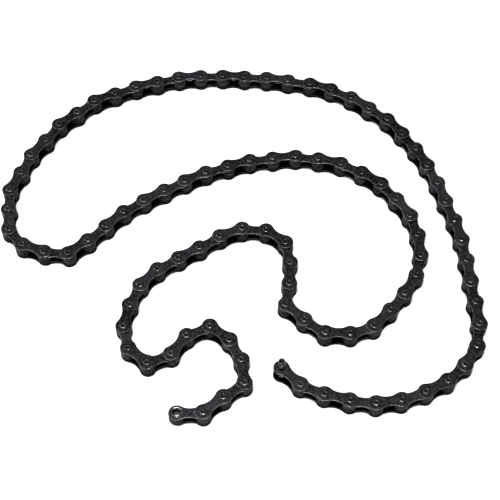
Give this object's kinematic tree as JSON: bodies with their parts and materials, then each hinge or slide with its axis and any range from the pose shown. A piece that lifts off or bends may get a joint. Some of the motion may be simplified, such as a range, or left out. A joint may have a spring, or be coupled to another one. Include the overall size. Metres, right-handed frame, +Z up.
{
  "type": "roller chain",
  "caption": "Bicycle-type roller chain laid in open curves, with riveted links, free rollers and one joining pin pushed out.",
  "frame": {"origin": "under the middle of the chain's outline, on the surface it lies on", "axes": "+Z up, along every pin; +X along the chain's longest extent as it lies"},
  "size_m": [0.2538, 0.2204, 0.0158],
  "materials": {
    "plates": "black oxide, lightly oiled, worn on the edges",
    "pins": "black oxide, burnished round the peened ends",
    "bushings": "dark steel, bare in the bore",
    "rollers": "black oxide, satin"
  },
  "bodies": {
    "end_outer_link": {"end_outer_plate_lower": "plates", "end_outer_plate_upper": "plates", "end_rivet_pin": "pins"},
    "joining_pin": {"joining_pin": "pins"},
    "inner_link_02": {"inner_link_02": "plates"},
    "outer_link_03": {"outer_link_03": "plates"},
    "inner_link_04": {"inner_link_04": "plates"},
    "outer_link_05": {"outer_link_05": "plates"},
    "inner_link_06": {"inner_link_06": "plates"},
    "outer_link_07": {"outer_link_07": "plates"},
    "inner_link_08": {"inner_link_08": "plates"},
    "outer_link_09": {"outer_link_09": "plates"},
    "inner_link_10": {"inner_link_10": "plates"},
    "outer_link_11": {"outer_link_11": "plates"},
    "strand_12_15": {"strand_12_15": "plates"},
    "strand_16_19": {"strand_16_19": "plates"},
    "strand_20_23": {"strand_20_23": "plates"},
    "strand_24_27": {"strand_24_27": "plates"},
    "strand_28_31": {"strand_28_31": "plates"},
    "strand_32_35": {"strand_32_35": "plates"},
    "strand_36_39": {"strand_36_39": "plates"},
    "strand_40_43": {"strand_40_43": "plates"},
    "inner_link_44": {"inner_link_44": "plates"},
    "outer_link_45": {"outer_link_45": "plates"},
    "inner_link_46": {"inner_link_46": "plates"},
    "outer_link_47": {"outer_link_47": "plates"},
    "strand_48_51": {"strand_48_51": "plates"},
    "strand_52_55": {"strand_52_55": "plates"},
    "strand_56_59": {"strand_56_59": "plates"},
    "strand_60_63": {"strand_60_63": "plates"},
    "strand_64_67": {"strand_64_67": "plates"},
    "strand_68_70": {"strand_68_70": "plates"},
    "outer_link_71": {"outer_link_71": "plates"},
    "inner_link_72": {"inner_link_72": "plates"},
    "outer_link_73": {"outer_link_73": "plates"},
    "inner_link_74": {"inner_link_74": "plates"},
    "outer_link_75": {"outer_link_75": "plates"},
    "inner_link_76": {"inner_link_76": "plates"},
    "outer_link_77": {"outer_link_77": "plates"},
    "inner_link_78": {"inner_link_78": "plates"},
    "outer_link_79": {"outer_link_79": "plates"},
    "strand_80_83": {"strand_80_83": "plates"},
    "inner_link_84": {"inner_link_84": "plates"},
    "outer_link_85": {"outer_link_85": "plates"},
    "inner_link_86": {"inner_link_86": "plates"},
    "outer_link_87": {"outer_link_87": "plates"},
    "inner_link_88": {"inner_link_88": "plates"},
    "outer_link_89": {"outer_link_89": "plates"},
    "inner_link_90": {"inner_link_90": "plates"},
    "outer_link_91": {"outer_link_91": "plates"},
    "inner_link_92": {"inner_link_92": "plates"},
    "outer_link_93": {"outer_link_93": "plates"},
    "inner_link_94": {"inner_link_94": "plates"},
    "outer_link_95": {"outer_link_95": "plates"},
    "end_inner_link": {"end_inner_plate_lower": "plates", "end_inner_plate_upper": "plates", "next_bushing": "bushings", "end_bushing": "bushings"},
    "next_roller": {"next_roller": "rollers"},
    "end_roller": {"end_roller": "rollers"}
  },
  "joints": [
    {"name": "pin_02", "type": "hinge", "parent": "inner_link_02", "child": "end_outer_link", "pos_m": [0.03183, -0.0913, 0.0046], "axis": [0, 0, -1], "range_deg": [-80, 80]},
    {"name": "pin_03", "type": "hinge", "parent": "outer_link_03", "child": "inner_link_02", "pos_m": [0.04344, -0.09646, 0.0046], "axis": [0, 0, 1], "range_deg": [-80, 80]},
    {"name": "pin_04", "type": "hinge", "parent": "inner_link_04", "child": "outer_link_03", "pos_m": [0.0557, -0.09975, 0.0046], "axis": [0, 0, -1], "range_deg": [-60, 25]},
    {"name": "pin_05", "type": "hinge", "parent": "outer_link_05", "child": "inner_link_04", "pos_m": [0.06831, -0.1013, 0.0046], "axis": [0, 0, 1], "range_deg": [-18, 60]},
    {"name": "pin_06", "type": "hinge", "parent": "inner_link_06", "child": "outer_link_05", "pos_m": [0.08089, -0.09953, 0.0046], "axis": [0, 0, -1], "range_deg": [-60, 15]},
    {"name": "pin_07", "type": "hinge", "parent": "outer_link_07", "child": "inner_link_06", "pos_m": [0.09282, -0.09519, 0.0046], "axis": [0, 0, -1], "range_deg": [-60, 12]},
    {"name": "pin_08", "type": "hinge", "parent": "inner_link_08", "child": "outer_link_07", "pos_m": [0.10403, -0.08922, 0.0046], "axis": [0, 0, -1], "range_deg": [-60, 12]},
    {"name": "pin_09", "type": "hinge", "parent": "outer_link_09", "child": "inner_link_08", "pos_m": [0.11332, -0.08056, 0.0046], "axis": [0, 0, 1], "range_deg": [-12, 60]},
    {"name": "pin_10", "type": "hinge", "parent": "inner_link_10", "child": "outer_link_09", "pos_m": [0.12042, -0.07003, 0.0046], "axis": [0, 0, -1], "range_deg": [-60, 12]},
    {"name": "pin_11", "type": "hinge", "parent": "outer_link_11", "child": "inner_link_10", "pos_m": [0.12285, -0.05757, 0.0046], "axis": [0, 0, 1], "range_deg": [-15, 60]},
    {"name": "pin_12", "type": "hinge", "parent": "strand_12_15", "child": "outer_link_11", "pos_m": [0.12218, -0.04488, 0.0046], "axis": [0, 0, -1], "range_deg": [-60, 18]},
    {"name": "pin_16", "type": "hinge", "parent": "strand_16_19", "child": "strand_12_15", "pos_m": [0.11622, 0.00549, 0.0046], "axis": [0, 0, -1], "range_deg": [-40, 4]},
    {"name": "pin_20", "type": "hinge", "parent": "strand_20_23", "child": "strand_16_19", "pos_m": [0.0991, 0.05317, 0.0046], "axis": [0, 0, -1], "range_deg": [-40, 2]},
    {"name": "pin_24", "type": "hinge", "parent": "strand_24_27", "child": "strand_20_23", "pos_m": [0.06499, 0.09007, 0.0046], "axis": [0, 0, 1], "range_deg": [-1, 40]},
    {"name": "pin_28", "type": "hinge", "parent": "strand_28_31", "child": "strand_24_27", "pos_m": [0.01676, 0.10457, 0.0046], "axis": [0, 0, -1], "range_deg": [-40, 1]},
    {"name": "pin_32", "type": "hinge", "parent": "strand_32_35", "child": "strand_28_31", "pos_m": [-0.03394, 0.1048, 0.0046], "axis": [0, 0, 1], "range_deg": [-1, 6]},
    {"name": "pin_36", "type": "hinge", "parent": "strand_36_39", "child": "strand_32_35", "pos_m": [-0.08153, 0.08748, 0.0046], "axis": [0, 0, -1], "range_deg": [-4, 1]},
    {"name": "pin_40", "type": "hinge", "parent": "strand_40_43", "child": "strand_36_39", "pos_m": [-0.11374, 0.04874, 0.0046], "axis": [0, 0, 1], "range_deg": [-1, 4]},
    {"name": "pin_44", "type": "hinge", "parent": "inner_link_44", "child": "strand_40_43", "pos_m": [-0.12063, -0.00026, 0.0046], "axis": [0, 0, -1], "range_deg": [-5, 3]},
    {"name": "pin_45", "type": "hinge", "parent": "outer_link_45", "child": "inner_link_44", "pos_m": [-0.11247, -0.00998, 0.0046], "axis": [0, 0, 1], "range_deg": [-3, 5]},
    {"name": "pin_46", "type": "hinge", "parent": "inner_link_46", "child": "outer_link_45", "pos_m": [-0.10061, -0.01454, 0.0046], "axis": [0, 0, -1], "range_deg": [-6, 3]},
    {"name": "pin_47", "type": "hinge", "parent": "outer_link_47", "child": "inner_link_46", "pos_m": [-0.08794, -0.01542, 0.0046], "axis": [0, 0, 1], "range_deg": [-3, 6]},
    {"name": "pin_48", "type": "hinge", "parent": "strand_48_51", "child": "outer_link_47", "pos_m": [-0.07822, -0.00726, 0.0046], "axis": [0, 0, 1], "range_deg": [-3, 6]},
    {"name": "pin_52", "type": "hinge", "parent": "strand_48_51", "child": "strand_52_55", "pos_m": [-0.03924, 0.02487, 0.0046], "axis": [0, 0, -1], "range_deg": [-2, 7]},
    {"name": "pin_56", "type": "hinge", "parent": "strand_52_55", "child": "strand_56_59", "pos_m": [0.00716, 0.04505, 0.0046], "axis": [0, 0, 1], "range_deg": [-8, 2]},
    {"name": "pin_60", "type": "hinge", "parent": "strand_56_59", "child": "strand_60_63", "pos_m": [0.0573, 0.04308, 0.0046], "axis": [0, 0, -1], "range_deg": [-2, 8]},
    {"name": "pin_64", "type": "hinge", "parent": "strand_60_63", "child": "strand_64_67", "pos_m": [0.09292, 0.00837, 0.0046], "axis": [0, 0, 1], "range_deg": [-8, 3]},
    {"name": "pin_68", "type": "hinge", "parent": "strand_64_67", "child": "strand_68_70", "pos_m": [0.08642, -0.03968, 0.0046], "axis": [0, 0, -1], "range_deg": [-30, 8]},
    {"name": "pin_71", "type": "hinge", "parent": "strand_68_70", "child": "outer_link_71", "pos_m": [0.05767, -0.06303, 0.0046], "axis": [0, 0, 1], "range_deg": [-8, 30]},
    {"name": "pin_72", "type": "hinge", "parent": "outer_link_71", "child": "inner_link_72", "pos_m": [0.04498, -0.06259, 0.0046], "axis": [0, 0, -1], "range_deg": [-25, 8]},
    {"name": "pin_73", "type": "hinge", "parent": "inner_link_72", "child": "outer_link_73", "pos_m": [0.0347, -0.05512, 0.0046], "axis": [0, 0, 1], "range_deg": [-14, 8]},
    {"name": "pin_74", "type": "hinge", "parent": "outer_link_73", "child": "inner_link_74", "pos_m": [0.02541, -0.04646, 0.0046], "axis": [0, 0, 1], "range_deg": [-14, 7]},
    {"name": "pin_75", "type": "hinge", "parent": "inner_link_74", "child": "outer_link_75", "pos_m": [0.0274, -0.03392, 0.0046], "axis": [0, 0, 1], "range_deg": [-12, 5]},
    {"name": "pin_76", "type": "hinge", "parent": "outer_link_75", "child": "inner_link_76", "pos_m": [0.02807, -0.02124, 0.0046], "axis": [0, 0, -1], "range_deg": [-4, 12]},
    {"name": "pin_77", "type": "hinge", "parent": "inner_link_76", "child": "outer_link_77", "pos_m": [0.02586, -0.00873, 0.0046], "axis": [0, 0, 1], "range_deg": [-12, 3]},
    {"name": "pin_78", "type": "hinge", "parent": "outer_link_77", "child": "inner_link_78", "pos_m": [0.01572, -0.00109, 0.0046], "axis": [0, 0, -1], "range_deg": [-3, 10]},
    {"name": "pin_79", "type": "hinge", "parent": "inner_link_78", "child": "outer_link_79", "pos_m": [0.00307, 0.00002, 0.0046], "axis": [0, 0, 1], "range_deg": [-12, 3]},
    {"name": "pin_80", "type": "hinge", "parent": "outer_link_79", "child": "strand_80_83", "pos_m": [-0.00871, -0.00474, 0.0046], "axis": [0, 0, -1], "range_deg": [-3, 12]},
    {"name": "pin_84", "type": "hinge", "parent": "strand_80_83", "child": "inner_link_84", "pos_m": [-0.04927, -0.03474, 0.0046], "axis": [0, 0, 1], "range_deg": [-60, 5]},
    {"name": "pin_85", "type": "hinge", "parent": "inner_link_84", "child": "outer_link_85", "pos_m": [-0.05403, -0.04651, 0.0046], "axis": [0, 0, -1], "range_deg": [-7, 60]},
    {"name": "pin_86", "type": "hinge", "parent": "outer_link_85", "child": "inner_link_86", "pos_m": [-0.05645, -0.05898, 0.0046], "axis": [0, 0, 1], "range_deg": [-60, 35]},
    {"name": "pin_87", "type": "hinge", "parent": "inner_link_86", "child": "outer_link_87", "pos_m": [-0.05338, -0.0713, 0.0046], "axis": [0, 0, -1], "range_deg": [-35, 60]},
    {"name": "pin_88", "type": "hinge", "parent": "outer_link_87", "child": "inner_link_88", "pos_m": [-0.04365, -0.07946, 0.0046], "axis": [0, 0, 1], "range_deg": [-60, 40]},
    {"name": "pin_89", "type": "hinge", "parent": "inner_link_88", "child": "outer_link_89", "pos_m": [-0.03196, -0.0745, 0.0046], "axis": [0, 0, -1], "range_deg": [-60, 60]},
    {"name": "pin_90", "type": "hinge", "parent": "outer_link_89", "child": "inner_link_90", "pos_m": [-0.0245, -0.06423, 0.0046], "axis": [0, 0, 1], "range_deg": [-60, 11]},
    {"name": "pin_91", "type": "hinge", "parent": "inner_link_90", "child": "outer_link_91", "pos_m": [-0.01299, -0.05886, 0.0046], "axis": [0, 0, -1], "range_deg": [-10, 35]},
    {"name": "pin_92", "type": "hinge", "parent": "outer_link_91", "child": "inner_link_92", "pos_m": [-0.00298, -0.06668, 0.0046], "axis": [0, 0, 1], "range_deg": [-24, 15]},
    {"name": "pin_93", "type": "hinge", "parent": "inner_link_92", "child": "outer_link_93", "pos_m": [0.00298, -0.07789, 0.0046], "axis": [0, 0, -1], "range_deg": [-30, 22]},
    {"name": "pin_94", "type": "hinge", "parent": "outer_link_93", "child": "inner_link_94", "pos_m": [0.00453, -0.0905, 0.0046], "axis": [0, 0, 1], "range_deg": [-28, 60]},
    {"name": "pin_95", "type": "hinge", "parent": "inner_link_94", "child": "outer_link_95", "pos_m": [-0.00574, -0.09796, 0.0046], "axis": [0, 0, -1], "range_deg": [-80, 60]},
    {"name": "pin_96", "type": "hinge", "parent": "outer_link_95", "child": "end_inner_link", "pos_m": [-0.01547, -0.10612, 0.0046], "axis": [0, 0, 1], "range_deg": [-70, 80]},
    {"name": "joining_pin_press", "type": "slide", "parent": "end_outer_link", "child": "joining_pin", "axis": [0, 0, 1], "range_m": [-0.0066, 0.0008]},
    {"name": "next_roller_spin", "type": "hinge", "parent": "end_inner_link", "child": "next_roller", "pos_m": [-0.01547, -0.10612, 0.0046], "axis": [0, 0, 1], "continuous": true},
    {"name": "end_roller_spin", "type": "hinge", "parent": "end_inner_link", "child": "end_roller", "pos_m": [-0.02817, -0.10612, 0.0046], "axis": [0, 0, 1], "continuous": true}
  ]
}
